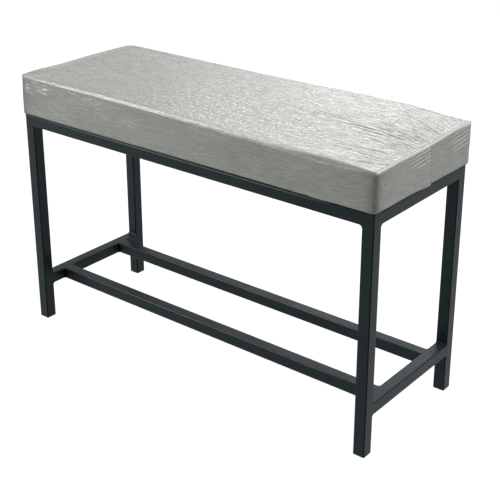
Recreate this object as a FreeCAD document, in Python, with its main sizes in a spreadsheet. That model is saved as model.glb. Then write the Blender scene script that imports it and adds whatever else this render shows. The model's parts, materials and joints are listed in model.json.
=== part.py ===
import FreeCAD, Part
import Sketcher
import math
import os

# Hotel luggage bench: a welded frame of square steel tube that carries an upholstered pad.
# Millimetres. The origin is on the floor under the bench's middle, +X runs along the bench
# to its right end, +Y to its back and +Z up.

DIMENSIONS = [
    # frame of square tube
    ("frame_length", 1000, "left face to right face of the frame"),
    ("frame_depth", 360, "front face to back face of the frame"),
    ("rail_top", 550, "floor to the top of the rails and legs"),
    ("tube_size", 28, "outside of the square tube"),
    ("tube_wall", 1.5, "wall of the tube"),
    ("tube_corner", 2.5, "outer corner radius of the tube"),
    ("stretcher_underside", 91, "floor to the underside of the stretchers"),
    ("stretcher_inset", 67, "front or back face of the frame to the nearer long stretcher"),
    # welds
    ("rail_weld", 6, "leg of the weld beads at the rails"),
    ("stretcher_weld", 3, "leg of the weld beads at the stretchers"),
    ("weld_setback", 1, "a bead's end to the face of its tube"),
    # ribbed inserts in the feet
    ("foot_flange", 3, "plate of the insert, under the leg"),
    ("foot_edge", 1, "bevel of the plate's lower edge"),
    ("stub_length", 17, "how far the insert reaches into the leg"),
    ("stub_wall", 1.6, "wall of the hollow stub"),
    ("fin_reach", 1.2, "how far the fins stand out of the stub"),
    ("fin_thickness", 1, "one fin along the stub"),
    ("fin_pitch", 4.5, "from one fin to the next"),
    ("fin_start", 4, "plate of the insert to the first fin"),
    ("fin_clearance", 0.1, "fin to the tube's inner wall"),
    # plates that the pad is screwed to
    ("plate_thickness", 3, "corner plates and middle tabs"),
    ("plate_leg", 52, "side of a corner plate along each rail"),
    ("plate_lip", 12, "free end of a corner plate, square to the rail"),
    ("tab_width", 44, "middle tab along the rail"),
    ("tab_reach", 32, "middle tab out from the rail"),
    ("tab_corner", 8, "clipped free corners of a tab"),
    # pan-head screws
    ("screw_hole", 5.5, "hole in the plates and in the dust cover"),
    ("screw_shank", 4.2, "shank of a screw"),
    ("screw_length", 19.5, "shank from under the head to its tip"),
    ("screw_tip", 3, "pointed end of the shank"),
    ("screw_head", 9, "across the head's seat"),
    ("screw_head_top", 6, "across the head's flat top"),
    ("screw_head_height", 3, "height of the head"),
    ("pilot_clearance", 0.1, "shank to its pilot hole, all round"),
    ("pilot_end", 1.5, "end of a screw to the bottom of its pilot hole"),
    # pad
    ("end_overhang", 3, "how far the pad stands out past each end of the frame"),
    ("side_overhang", 4, "how far it stands out past the frame's front and back"),
    ("pad_corner", 6, "upright corners of the pad"),
    ("pad_roll", 9, "rolled front and back edges of the top"),
    ("pad_lower_edge", 4.5, "bevel of the pad's lower edge"),
    ("crown_radius", 6000, "arch of the top across the bench"),
    ("board_thickness", 18, "plywood board"),
    ("foam_thickness", 77, "foam over the board, at the crown"),
    ("cover_thickness", 1.2, "coated fabric of the cover"),
    ("hem_width", 42, "edge of the pad to the raw edge of the fold under the board"),
    ("hem_to_screw", 6, "raw edge of the fold to a screw's axis, at the front and back"),
    ("dust_cover_thickness", 0.8, "black cloth under the pad"),
    ("dust_cover_inset", 11, "edge of the pad to the edge of the black cloth"),
]

# Sizes that follow from the sheet, as expressions. Names in capitals are only shorthand.
HALF_LENGTH = "(sizes.frame_length / 2)"
HALF_DEPTH = "(sizes.frame_depth / 2)"
TUBE = "sizes.tube_size"
INNER_X = f"({HALF_LENGTH} - {TUBE})"
INNER_Y = f"({HALF_DEPTH} - {TUBE})"
BORE = f"({TUBE} - 2 * sizes.tube_wall)"
BORE_CORNER = "(sizes.tube_corner - sizes.tube_wall)"
RAIL_UNDERSIDE = f"(sizes.rail_top - {TUBE})"
PLATE_UNDERSIDE = "(sizes.rail_top - sizes.plate_thickness)"
STRETCHER_TOP = f"(sizes.stretcher_underside + {TUBE})"
STRETCHER_OUTER_Y = f"({HALF_DEPTH} - sizes.stretcher_inset)"
STRETCHER_INNER_Y = f"({STRETCHER_OUTER_Y} - {TUBE})"
BEAD_LENGTH = f"({TUBE} - 2 * sizes.weld_setback)"
FLAT_LENGTH = f"({TUBE} - 2 * sizes.tube_corner)"
SCREW_INSET = f"(sizes.hem_width + sizes.hem_to_screw - sizes.side_overhang - {TUBE})"
SCREW_X = f"({INNER_X} - {SCREW_INSET})"
SCREW_Y = f"({INNER_Y} - {SCREW_INSET})"
SCREW_END = f"({PLATE_UNDERSIDE} + sizes.screw_length)"
PAD_LENGTH = "(sizes.frame_length + 2 * sizes.end_overhang)"
PAD_DEPTH = "(sizes.frame_depth + 2 * sizes.side_overhang)"
PAD_BOTTOM = "(sizes.rail_top + sizes.dust_cover_thickness)"
BOARD_BOTTOM = f"({PAD_BOTTOM} + sizes.cover_thickness)"
FOAM_BOTTOM = f"({BOARD_BOTTOM} + sizes.board_thickness)"
FOAM_TOP = f"({FOAM_BOTTOM} + sizes.foam_thickness)"
PAD_TOP = f"({FOAM_TOP} + sizes.cover_thickness)"

# The sketcher numbers an edge's points from 1, and a sketch's own origin is the start of edge -1.
START, END, CENTRE = range(1, 4)
ORIGIN = (-1, START)
Z = FreeCAD.Vector(0, 0, 1)

doc = FreeCAD.newDocument("luggage_bench")
sheet = doc.addObject("Spreadsheet::Sheet", "sizes")
for line, (alias, value, meaning) in enumerate(DIMENSIONS, start=1):
    sheet.set(f"A{line}", alias)
    sheet.set(f"B{line}", str(value))
    sheet.setAlias(f"B{line}", alias)
    sheet.set(f"C{line}", meaning)
doc.recompute()

nodes = []


# ---------------------------------------------------------------- helpers


def number(expression):
    """What an expression is worth now, to place a sketch's geometry before it is constrained."""
    return float(sheet.evalExpression(expression))


def node(item, name):
    """Marks an object as a finished piece of the bench."""
    item.Label = name
    nodes.append(item)
    return item


def plane_of(body, role):
    return next(item for item in body.Origin.OriginFeatures if item.Role == role)


def new_sketch(body, name, plane="XY_Plane", offset="0"):
    """A sketch on one of the body's own origin planes, moved along the plane's normal."""
    sketch = body.newObject("Sketcher::SketchObject", f"{body.Name}_{name}")
    sketch.AttachmentSupport = [(plane_of(body, plane), "")]
    sketch.MapMode = "FlatFace"
    sketch.setExpression("AttachmentOffset.Base.z", offset)
    return sketch


def constrain(sketch, kind, *target):
    """Adds a constraint. A last value that is an expression is bound to it."""
    if isinstance(target[-1], str):
        expression = target[-1]
        added = sketch.addConstraint(Sketcher.Constraint(kind, *target[:-1], number(expression)))
        sketch.setExpression(f"Constraints[{added}]", expression)
    else:
        sketch.addConstraint(Sketcher.Constraint(kind, *target))


def new_pad(body, sketch, length):
    pad = body.newObject("PartDesign::Pad", f"{sketch.Name}_pad")
    pad.Profile = sketch
    pad.setExpression("Length", length)
    sketch.Visibility = False
    body.Tip = pad
    return pad


def mirror(body, originals, *planes):
    """Repeats features across one or two of the body's origin planes."""
    pattern = body.newObject("PartDesign::MultiTransform", f"{originals[0].Name}_mirrored")
    pattern.Originals = originals
    steps = []
    for plane in planes:
        step = body.newObject("PartDesign::Mirrored", f"{pattern.Name}_{plane}")
        step.MirrorPlane = (plane_of(body, plane), [""])
        steps.append(step)
    pattern.Transformations = steps
    body.Tip = pattern
    return pattern


def place(item, x="0", y="0", z="0", rotation=FreeCAD.Rotation()):
    item.Placement = FreeCAD.Placement(FreeCAD.Vector(), rotation)
    item.setExpression("Placement.Base.x", x)
    item.setExpression("Placement.Base.y", y)
    item.setExpression("Placement.Base.z", z)


def boolean(kind, name, base, tool):
    result = doc.addObject(f"Part::{kind}", name)
    result.Base = base
    result.Tool = tool
    return result


# ---------------------------------------------------------------- sketch outlines


def rounded_rectangle(sketch, width, depth, radius):
    """A rectangle about the sketch's origin with four equal round corners."""
    half_width = number(width) / 2
    half_depth = number(depth) / 2
    round_off = number(radius)
    corners = [(1, -1), (1, 1), (-1, 1), (-1, -1)]
    arcs = []
    for turn, (side_x, side_y) in enumerate(corners):
        centre = FreeCAD.Vector(side_x * (half_width - round_off), side_y * (half_depth - round_off), 0)
        start = (turn - 1) * math.pi / 2
        circle = Part.Circle(centre, Z, round_off)
        arcs.append(sketch.addGeometry(Part.ArcOfCircle(circle, start, start + math.pi / 2)))
    sides = []
    for turn in range(4):
        begin = sketch.getPoint(arcs[turn], END)
        finish = sketch.getPoint(arcs[(turn + 1) % 4], START)
        sides.append(sketch.addGeometry(Part.LineSegment(begin, finish)))
    for turn in range(4):
        constrain(sketch, "Tangent", arcs[turn], END, sides[turn], START)
        constrain(sketch, "Tangent", sides[turn], END, arcs[(turn + 1) % 4], START)
        constrain(sketch, ("Vertical", "Horizontal")[turn % 2], sides[turn])
    for turn in range(1, 4):
        constrain(sketch, "Equal", arcs[0], arcs[turn])
    constrain(sketch, "Radius", arcs[0], radius)
    constrain(sketch, "DistanceX", arcs[3], CENTRE, arcs[0], CENTRE, f"{width} - 2 * {radius}")
    constrain(sketch, "DistanceY", arcs[0], CENTRE, arcs[1], CENTRE, f"{depth} - 2 * {radius}")
    constrain(sketch, "Symmetric", arcs[3], CENTRE, arcs[1], CENTRE, *ORIGIN)


def locate(sketch, geometry, point, x, y):
    """Fixes a point of a sketch at two expressions, on whichever side of the origin they lie."""
    for kind, expression in [("DistanceX", x), ("DistanceY", y)]:
        if number(expression) < 0:
            constrain(sketch, kind, geometry, point, *ORIGIN, f"-({expression})")
        else:
            constrain(sketch, kind, *ORIGIN, geometry, point, expression)


def polygon(sketch, points):
    """A closed outline of straight lines through points, each one a pair of expressions."""
    corners = [FreeCAD.Vector(number(x), number(y), 0) for x, y in points]
    lines = []
    for index, begin in enumerate(corners):
        finish = corners[(index + 1) % len(corners)]
        lines.append(sketch.addGeometry(Part.LineSegment(begin, finish)))
    for index, line in enumerate(lines):
        constrain(sketch, "Coincident", line, END, lines[(index + 1) % len(lines)], START)
    for line, (x, y) in zip(lines, points):
        locate(sketch, line, START, x, y)


def square(side):
    """Corners of a square about the origin."""
    half = f"({side} / 2)"
    return [(f"-{half}", f"-{half}"), (half, f"-{half}"), (half, half), (f"-{half}", half)]


def clipped_square(side, clip):
    """Corners of a square about the origin whose own corners are cut off."""
    half = f"({side} / 2)"
    near = f"({side} / 2 - {clip})"
    return [
        (f"-{near}", f"-{half}"),
        (near, f"-{half}"),
        (half, f"-{near}"),
        (half, near),
        (near, half),
        (f"-{near}", half),
        (f"-{half}", near),
        (f"-{half}", f"-{near}"),
    ]


def circle_at(sketch, x, y, diameter):
    ring = sketch.addGeometry(Part.Circle(FreeCAD.Vector(number(x), number(y), 0), Z, number(diameter) / 2))
    locate(sketch, ring, CENTRE, x, y)
    constrain(sketch, "Diameter", ring, diameter)


def flat_bead_section(sketch, leg, side_x, side_y):
    """The triangular section of a small weld bead in the corner at the sketch's origin."""
    reach = number(leg)
    corner = FreeCAD.Vector(0, 0, 0)
    along_x = FreeCAD.Vector(side_x * reach, 0, 0)
    along_y = FreeCAD.Vector(0, side_y * reach, 0)
    sketch.addGeometry(Part.LineSegment(corner, along_x))
    sketch.addGeometry(Part.LineSegment(along_x, along_y))
    sketch.addGeometry(Part.LineSegment(along_y, corner))
    constrain(sketch, "Coincident", 0, START, *ORIGIN)
    constrain(sketch, "Coincident", 2, END, *ORIGIN)
    constrain(sketch, "Coincident", 0, END, 1, START)
    constrain(sketch, "Coincident", 1, END, 2, START)
    constrain(sketch, "Horizontal", 0)
    constrain(sketch, "Vertical", 2)
    constrain(sketch, "Equal", 0, 2)
    constrain(sketch, "Distance", 0, leg)


def hollow_bead_section(sketch, leg, side_x, side_y):
    """The concave section of a weld bead that fills the corner at the sketch's origin."""
    reach = number(leg)
    corner = FreeCAD.Vector(0, 0, 0)
    along_x = FreeCAD.Vector(side_x * reach, 0, 0)
    along_y = FreeCAD.Vector(0, side_y * reach, 0)
    middle = FreeCAD.Vector(side_x * reach, side_y * reach, 0)
    toward = FreeCAD.Vector(-side_x, -side_y, 0).normalize() * reach
    sketch.addGeometry(Part.LineSegment(corner, along_x))
    sketch.addGeometry(Part.LineSegment(along_y, corner))
    arc = sketch.addGeometry(Part.Arc(along_x, middle + toward, along_y))
    swapped = sketch.getPoint(arc, START).distanceToPoint(along_x) > reach / 2
    at_x, at_y = (END, START) if swapped else (START, END)
    constrain(sketch, "Coincident", 0, START, *ORIGIN)
    constrain(sketch, "Coincident", 1, END, *ORIGIN)
    constrain(sketch, "Coincident", 0, END, arc, at_x)
    constrain(sketch, "Coincident", 1, START, arc, at_y)
    constrain(sketch, "Horizontal", 0)
    constrain(sketch, "Vertical", 1)
    constrain(sketch, "Equal", 0, 1)
    constrain(sketch, "Radius", arc, leg)
    constrain(sketch, "Vertical", 0, END, arc, CENTRE)


def crowned_section(sketch, depth, bottom, top, roll, crown):
    """The section across the bench: upright sides, rolled upper edges and an arched top."""
    half = number(depth) / 2
    low = number(bottom)
    round_off = number(roll)
    arch = number(crown)
    arch_centre = number(top) - arch
    roll_height = arch_centre + math.sqrt((arch - round_off) ** 2 - (half - round_off) ** 2)
    lean = math.atan2(roll_height - arch_centre, half - round_off)
    right = Part.Circle(FreeCAD.Vector(half - round_off, roll_height, 0), Z, round_off)
    middle = Part.Circle(FreeCAD.Vector(0, arch_centre, 0), Z, arch)
    left = Part.Circle(FreeCAD.Vector(round_off - half, roll_height, 0), Z, round_off)
    outline = [
        Part.LineSegment(FreeCAD.Vector(-half, low, 0), FreeCAD.Vector(half, low, 0)),
        Part.LineSegment(FreeCAD.Vector(half, low, 0), FreeCAD.Vector(half, roll_height, 0)),
        Part.ArcOfCircle(right, 0, lean),
        Part.ArcOfCircle(middle, lean, math.pi - lean),
        Part.ArcOfCircle(left, math.pi - lean, math.pi),
        Part.LineSegment(FreeCAD.Vector(-half, roll_height, 0), FreeCAD.Vector(-half, low, 0)),
    ]
    base, right_side, right_roll, top_arch, left_roll, left_side = (
        sketch.addGeometry(part) for part in outline
    )
    constrain(sketch, "Coincident", base, END, right_side, START)
    constrain(sketch, "Coincident", left_side, END, base, START)
    constrain(sketch, "Tangent", right_side, END, right_roll, START)
    constrain(sketch, "Tangent", right_roll, END, top_arch, START)
    constrain(sketch, "Tangent", top_arch, END, left_roll, START)
    constrain(sketch, "Tangent", left_roll, END, left_side, START)
    constrain(sketch, "Vertical", right_side)
    constrain(sketch, "Vertical", left_side)
    constrain(sketch, "Horizontal", base)
    constrain(sketch, "Vertical", top_arch, CENTRE, *ORIGIN)
    constrain(sketch, "Equal", right_roll, left_roll)
    constrain(sketch, "Radius", right_roll, roll)
    constrain(sketch, "Radius", top_arch, crown)
    constrain(sketch, "DistanceX", base, START, *ORIGIN, f"{depth} / 2")
    constrain(sketch, "DistanceX", *ORIGIN, base, END, f"{depth} / 2")
    constrain(sketch, "DistanceY", *ORIGIN, base, START, bottom)
    constrain(sketch, "DistanceY", top_arch, CENTRE, *ORIGIN, f"{crown} - {top}")


# ---------------------------------------------------------------- frame tubes


def tube(name, length, x, y, z, rotation=FreeCAD.Rotation()):
    """A square steel tube, open at both ends, that runs from its own origin along its own Z."""
    body = doc.addObject("PartDesign::Body", name)
    section = new_sketch(body, "section")
    rounded_rectangle(section, TUBE, TUBE, "sizes.tube_corner")
    polygon(section, clipped_square(BORE, BORE_CORNER))
    new_pad(body, section, length)
    place(body, x, y, z, rotation)
    return node(body, name)


ALONG_X = FreeCAD.Rotation(FreeCAD.Vector(0, 1, 0), 90)
ALONG_Y = FreeCAD.Rotation(FreeCAD.Vector(1, 0, 0), -90)
ENDS = [("left", -1), ("right", 1)]
SIDES = [("front", -1), ("back", 1)]
AXIS_X = f"({HALF_LENGTH} - {TUBE} / 2)"
AXIS_Y = f"({HALF_DEPTH} - {TUBE} / 2)"
LONG_SPAN = f"2 * {INNER_X}"
SHORT_SPAN = f"2 * {INNER_Y}"
RAIL_AXIS_Z = f"sizes.rail_top - {TUBE} / 2"
STRETCHER_AXIS_Z = f"sizes.stretcher_underside + {TUBE} / 2"


def make_frame():
    """Four full-height legs, with rails and stretchers butted between them."""
    for side, toward_back in SIDES:
        for end, toward_right in ENDS:
            tube(
                f"leg_{side}_{end}",
                "sizes.rail_top - sizes.foot_flange",
                f"{toward_right} * {AXIS_X}",
                f"{toward_back} * {AXIS_Y}",
                "sizes.foot_flange",
            )
    for side, toward_back in SIDES:
        rail_y = f"{toward_back} * {AXIS_Y}"
        stretcher_y = f"{toward_back} * ({STRETCHER_OUTER_Y} - {TUBE} / 2)"
        tube(f"top_rail_{side}", LONG_SPAN, f"-{INNER_X}", rail_y, RAIL_AXIS_Z, ALONG_X)
        tube(f"long_stretcher_{side}", LONG_SPAN, f"-{INNER_X}", stretcher_y, STRETCHER_AXIS_Z, ALONG_X)
    for end, toward_right in ENDS:
        rail_x = f"{toward_right} * {AXIS_X}"
        tube(f"top_rail_{end}", SHORT_SPAN, rail_x, f"-{INNER_Y}", RAIL_AXIS_Z, ALONG_Y)
        tube(f"end_stretcher_{end}", SHORT_SPAN, rail_x, f"-{INNER_Y}", STRETCHER_AXIS_Z, ALONG_Y)


# ---------------------------------------------------------------- welds


def bead(body, name, plane, along, start, length, corner, leg, sides, section=hollow_bead_section):
    """One weld bead: its section at a corner of the front left quarter, run along a joint.

    along and start say how far the sketch is moved along its plane's normal, and on which side.
    """
    sketch = new_sketch(body, name, plane, f"{along} * ({start})")
    sketch.setExpression("AttachmentOffset.Base.x", f"-({corner[0]})")
    sketch.setExpression("AttachmentOffset.Base.y", corner[1])
    section(sketch, leg, *sides)
    return new_pad(body, sketch, length)


def make_rail_welds():
    """At each upper corner: beads under both rails and between them, and the flush seams outside."""
    body = doc.addObject("PartDesign::Body", "top_corner_welds")
    leg = "sizes.rail_weld"
    groove = "sizes.tube_corner"
    under = RAIL_UNDERSIDE
    seam_start = f"{RAIL_UNDERSIDE} + sizes.tube_corner"
    bead_start = f"{RAIL_UNDERSIDE} + sizes.weld_setback"
    upright_length = f"{TUBE} - sizes.plate_thickness - sizes.weld_setback"
    edge_y = f"{INNER_Y} + sizes.weld_setback"
    edge_x = f"{HALF_LENGTH} - sizes.weld_setback"
    features = [
        bead(body, "under_long_rail", "XZ_Plane", 1, edge_y, BEAD_LENGTH, (INNER_X, under), leg, (1, -1)),
        bead(body, "under_short_rail", "YZ_Plane", -1, edge_x, BEAD_LENGTH, (INNER_Y, under), leg, (1, -1)),
        bead(body, "upright", "XY_Plane", 1, bead_start, upright_length,
             (INNER_X, f"-{INNER_Y}"), leg, (1, 1)),
        bead(body, "long_seam", "XY_Plane", 1, seam_start, FLAT_LENGTH,
             (INNER_X, f"-{HALF_DEPTH}"), groove, (-1, 1)),
        bead(body, "short_seam", "XY_Plane", 1, seam_start, FLAT_LENGTH,
             (HALF_LENGTH, f"-{INNER_Y}"), groove, (1, -1)),
    ]
    mirror(body, features, "YZ_Plane", "XZ_Plane")
    node(body, "top_corner_welds")


def make_stretcher_welds():
    """Where the end stretchers meet the legs, and the long stretchers meet the end stretchers."""
    body = doc.addObject("PartDesign::Body", "stretcher_welds")
    leg = "sizes.stretcher_weld"
    groove = "sizes.tube_corner"
    top = STRETCHER_TOP
    bottom = "sizes.stretcher_underside"
    seam_start = f"{bottom} + sizes.tube_corner"
    bead_start = f"{bottom} + sizes.weld_setback"
    edge_x = f"{HALF_LENGTH} - sizes.weld_setback"
    seam_y = f"{STRETCHER_INNER_Y} + sizes.tube_corner"
    flat = flat_bead_section
    features = [
        bead(body, "end_above", "YZ_Plane", -1, edge_x, BEAD_LENGTH, (INNER_Y, top), leg, (1, 1), flat),
        bead(body, "end_below", "YZ_Plane", -1, edge_x, BEAD_LENGTH, (INNER_Y, bottom), leg, (1, -1), flat),
        bead(body, "long_outer", "XY_Plane", 1, bead_start, BEAD_LENGTH,
             (INNER_X, f"-{STRETCHER_OUTER_Y}"), leg, (1, -1), flat),
        bead(body, "long_inner", "XY_Plane", 1, bead_start, BEAD_LENGTH,
             (INNER_X, f"-{STRETCHER_INNER_Y}"), leg, (1, 1), flat),
        bead(body, "end_outer_seam", "XY_Plane", 1, seam_start, FLAT_LENGTH,
             (HALF_LENGTH, f"-{INNER_Y}"), groove, (1, -1)),
        bead(body, "end_inner_seam", "XY_Plane", 1, seam_start, FLAT_LENGTH,
             (INNER_X, f"-{INNER_Y}"), groove, (-1, -1)),
        bead(body, "long_top_seam", "XZ_Plane", 1, seam_y, FLAT_LENGTH, (INNER_X, top), groove, (-1, -1)),
        bead(body, "long_low_seam", "XZ_Plane", 1, seam_y, FLAT_LENGTH, (INNER_X, bottom), groove, (-1, 1)),
    ]
    mirror(body, features, "YZ_Plane", "XZ_Plane")
    node(body, "stretcher_welds")


# ---------------------------------------------------------------- feet


def foot_insert(name, x, y):
    """A moulded plug: a plate under the leg and a hollow stub whose fins grip the tube's bore."""
    body = doc.addObject("PartDesign::Body", name)
    plate_sketch = new_sketch(body, "plate")
    rounded_rectangle(plate_sketch, TUBE, TUBE, "sizes.tube_corner")
    plate = new_pad(body, plate_sketch, "sizes.foot_flange")
    doc.recompute()

    fin_size = f"({BORE} - 2 * sizes.fin_clearance)"
    stub_size = f"({fin_size} - 2 * sizes.fin_reach)"
    hollow_size = f"({stub_size} - 2 * sizes.stub_wall)"
    stub_sketch = new_sketch(body, "stub", offset="sizes.foot_flange")
    polygon(stub_sketch, square(stub_size))
    polygon(stub_sketch, square(hollow_size))
    new_pad(body, stub_sketch, "sizes.stub_length")

    fin_sketch = new_sketch(body, "fin", offset="sizes.foot_flange + sizes.fin_start")
    polygon(fin_sketch, clipped_square(fin_size, BORE_CORNER))
    polygon(fin_sketch, square(hollow_size))
    fin = new_pad(body, fin_sketch, "sizes.fin_thickness")
    fins = body.newObject("PartDesign::LinearPattern", f"{name}_fins")
    fins.Originals = [fin]
    fins.Direction = (plane_of(body, "Z_Axis"), [""])
    fins.Mode = "Spacing"
    fins.setExpression("Offset", "sizes.fin_pitch")
    fins.Occurrences = 3
    body.Tip = fins
    doc.recompute()

    lower_edges = level_edges(fins.Shape, 0)
    bevel = body.newObject("PartDesign::Chamfer", f"{name}_bevel")
    bevel.Base = (fins, lower_edges)
    bevel.setExpression("Size", "sizes.foot_edge")
    body.Tip = bevel
    place(body, x, y)
    node(body, name)


def level_edges(shape, height):
    """The names of a shape's edges that lie flat at a height."""
    names = []
    for index, edge in enumerate(shape.Edges, start=1):
        box = edge.BoundBox
        if abs(box.ZMin - height) < 0.001 and abs(box.ZMax - height) < 0.001:
            names.append(f"Edge{index}")
    return names


def make_feet():
    for side, toward_back in SIDES:
        for end, toward_right in ENDS:
            foot_insert(
                f"foot_insert_{side}_{end}",
                f"{toward_right} * {AXIS_X}",
                f"{toward_back} * {AXIS_Y}",
            )


# ---------------------------------------------------------------- plates and screws


def flat_plate(name, outline, hole, x, y, turn):
    """A steel plate welded flush with the rails' top, with a hole for a screw."""
    body = doc.addObject("PartDesign::Body", name)
    sketch = new_sketch(body, "outline")
    polygon(sketch, outline)
    circle_at(sketch, *hole, "sizes.screw_hole")
    new_pad(body, sketch, "sizes.plate_thickness")
    place(body, x, y, PLATE_UNDERSIDE, FreeCAD.Rotation(Z, turn))
    node(body, name)


def make_plates():
    leg = "sizes.plate_leg"
    lip = "sizes.plate_lip"
    corner_outline = [("0", "0"), (leg, "0"), (leg, lip), (lip, leg), ("0", leg)]
    turns = {("front", "left"): 0, ("front", "right"): 90, ("back", "right"): 180, ("back", "left"): 270}
    for side, toward_back in SIDES:
        for end, toward_right in ENDS:
            flat_plate(
                f"corner_plate_{side}_{end}",
                corner_outline,
                (SCREW_INSET, SCREW_INSET),
                f"{toward_right} * {INNER_X}",
                f"{toward_back} * {INNER_Y}",
                turns[side, end],
            )
    width = "sizes.tab_width"
    reach = "sizes.tab_reach"
    clip = "sizes.tab_corner"
    tab_outline = [
        ("0", "0"),
        (width, "0"),
        (width, f"{reach} - {clip}"),
        (f"{width} - {clip}", reach),
        (clip, reach),
        ("0", f"{reach} - {clip}"),
    ]
    for side, toward_back in SIDES:
        flat_plate(
            f"middle_tab_{side}",
            tab_outline,
            (f"{width} / 2", SCREW_INSET),
            f"{toward_back} * {width} / 2",
            f"{toward_back} * {INNER_Y}",
            0 if side == "front" else 180,
        )


def screw_profile():
    """Half of a pan-head screw, point up, about the sketch's upright axis."""
    shank = "sizes.screw_shank / 2"
    return [
        ("0", "-sizes.screw_head_height"),
        ("sizes.screw_head_top / 2", "-sizes.screw_head_height"),
        ("sizes.screw_head / 2", "0"),
        (shank, "0"),
        (shank, "sizes.screw_length - sizes.screw_tip"),
        ("0", "sizes.screw_length"),
    ]


def make_screws():
    """Six screws go up through the corner plates and the middle tabs into the board."""
    body = doc.addObject("PartDesign::Body", "pad_screws")
    for name, x, planes in [
        ("corner", SCREW_X, ["YZ_Plane", "XZ_Plane"]),
        ("middle", "0", ["XZ_Plane"]),
    ]:
        sketch = new_sketch(body, name, "XZ_Plane", SCREW_Y)
        sketch.setExpression("AttachmentOffset.Base.x", x)
        sketch.setExpression("AttachmentOffset.Base.y", PLATE_UNDERSIDE)
        polygon(sketch, screw_profile())
        turned = body.newObject("PartDesign::Revolution", f"{name}_screw")
        turned.Profile = sketch
        turned.ReferenceAxis = (sketch, ["V_Axis"])
        turned.Angle = 360
        body.Tip = turned
        mirror(body, [turned], *planes)
    node(body, "pad_screws")


def screw_bores(name, diameter, bottom, top):
    """Six upright cylinders at the screws' places, to cut holes with."""
    body = doc.addObject("PartDesign::Body", name)
    for label, x, planes in [
        ("corner", SCREW_X, ["YZ_Plane", "XZ_Plane"]),
        ("middle", "0", ["XZ_Plane"]),
    ]:
        sketch = new_sketch(body, label, offset=bottom)
        circle_at(sketch, x, SCREW_Y, diameter)
        bore = new_pad(body, sketch, f"{top} - ({bottom})")
        mirror(body, [bore], *planes)
    return body


# ---------------------------------------------------------------- pad


def upholstered_form(name, inward, bottom):
    """The pad's outer form, or one parallel to it that lies a skin further in."""
    body = doc.addObject("PartDesign::Body", name)
    length = f"({PAD_LENGTH} - 2 * {inward})"
    depth = f"({PAD_DEPTH} - 2 * {inward})"
    section = new_sketch(body, "section", "YZ_Plane", f"-{length} / 2")
    crowned_section(
        section,
        depth,
        bottom,
        f"({PAD_TOP} - {inward})",
        f"(sizes.pad_roll - {inward})",
        f"(sizes.crown_radius - {inward})",
    )
    new_pad(body, section, length)

    plan = new_sketch(body, "plan", offset=bottom)
    spare = "(2 * sizes.pad_corner)"
    rounded_rectangle(plan, f"({length} + {spare})", f"({depth} + {spare})", "sizes.pad_corner")
    rounded_rectangle(plan, length, depth, f"(sizes.pad_corner - {inward})")
    corners = body.newObject("PartDesign::Pocket", f"{name}_corners")
    corners.Profile = plan
    corners.Type = "ThroughAll"
    corners.Reversed = True
    body.Tip = corners
    doc.recompute()

    lower_edges = level_edges(corners.Shape, number(bottom))
    bevel = body.newObject("PartDesign::Chamfer", f"{name}_lower_edge")
    bevel.Base = (corners, lower_edges)
    bevel.setExpression("Size", f"sizes.pad_lower_edge - (2 - sqrt(2)) * {inward}")
    body.Tip = bevel
    return body


def block(name, length, depth, bottom, top):
    """A plain block about the middle of the bench, from one height to another."""
    box = doc.addObject("Part::Box", name)
    box.setExpression("Length", length)
    box.setExpression("Width", depth)
    box.setExpression("Height", f"{top} - ({bottom})")
    place(box, f"-({length}) / 2", f"-({depth}) / 2", bottom)
    return box


def make_pad():
    """A plywood board and crowned foam in a fitted cover that is folded under the board."""
    outside = upholstered_form("cover_outside", "0", PAD_BOTTOM)
    filling = upholstered_form("filling", "sizes.cover_thickness", BOARD_BOTTOM)

    opening = block(
        "hem_opening",
        f"{PAD_LENGTH} - 2 * sizes.hem_width",
        f"{PAD_DEPTH} - 2 * sizes.hem_width",
        PAD_BOTTOM,
        BOARD_BOTTOM,
    )
    skin = boolean("Cut", "cover_skin", outside, filling)
    node(boolean("Cut", "seat_cover", skin, opening), "seat_cover")

    board_zone = block("board_zone", PAD_LENGTH, PAD_DEPTH, BOARD_BOTTOM, FOAM_BOTTOM)
    node(boolean("Cut", "seat_foam", filling, board_zone), "seat_foam")
    board_blank = boolean("Common", "board_blank", filling, board_zone)
    pilots = screw_bores(
        "pilot_holes",
        "(sizes.screw_shank + 2 * sizes.pilot_clearance)",
        BOARD_BOTTOM,
        f"({SCREW_END} + sizes.pilot_end)",
    )
    node(boolean("Cut", "seat_board", board_blank, pilots), "seat_board")

    cloth_length = f"{PAD_LENGTH} - 2 * sizes.dust_cover_inset"
    cloth_depth = f"{PAD_DEPTH} - 2 * sizes.dust_cover_inset"
    cloth = block("dust_cover_blank", cloth_length, cloth_depth, "sizes.rail_top", PAD_BOTTOM)
    cloth_bores = screw_bores("dust_cover_holes", "sizes.screw_hole", "sizes.rail_top", PAD_BOTTOM)
    node(boolean("Cut", "dust_cover", cloth, cloth_bores), "dust_cover")


# ---------------------------------------------------------------- model

make_frame()
make_rail_welds()
make_stretcher_welds()
make_feet()
make_plates()
make_screws()
make_pad()
doc.recompute()

for item in doc.Objects:
    if "Invalid" in item.State or "Error" in item.State:
        raise RuntimeError(f"{item.Label} failed: {item.State}")
for item in nodes:
    if item.Shape.isNull() or not item.Shape.isValid() or not item.Shape.Solids:
        raise RuntimeError(f"{item.Label} has no valid solid")

os.makedirs("parts", exist_ok=True)
for item in nodes:
    item.Shape.exportStep(f"parts/{item.Label}.step")
    print(item.Label, len(item.Shape.Solids), round(item.Shape.Volume, 1))
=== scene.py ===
import json
import math

import bmesh
import bpy
import numpy as np
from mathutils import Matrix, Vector
from mathutils.bvhtree import BVHTree


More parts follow.
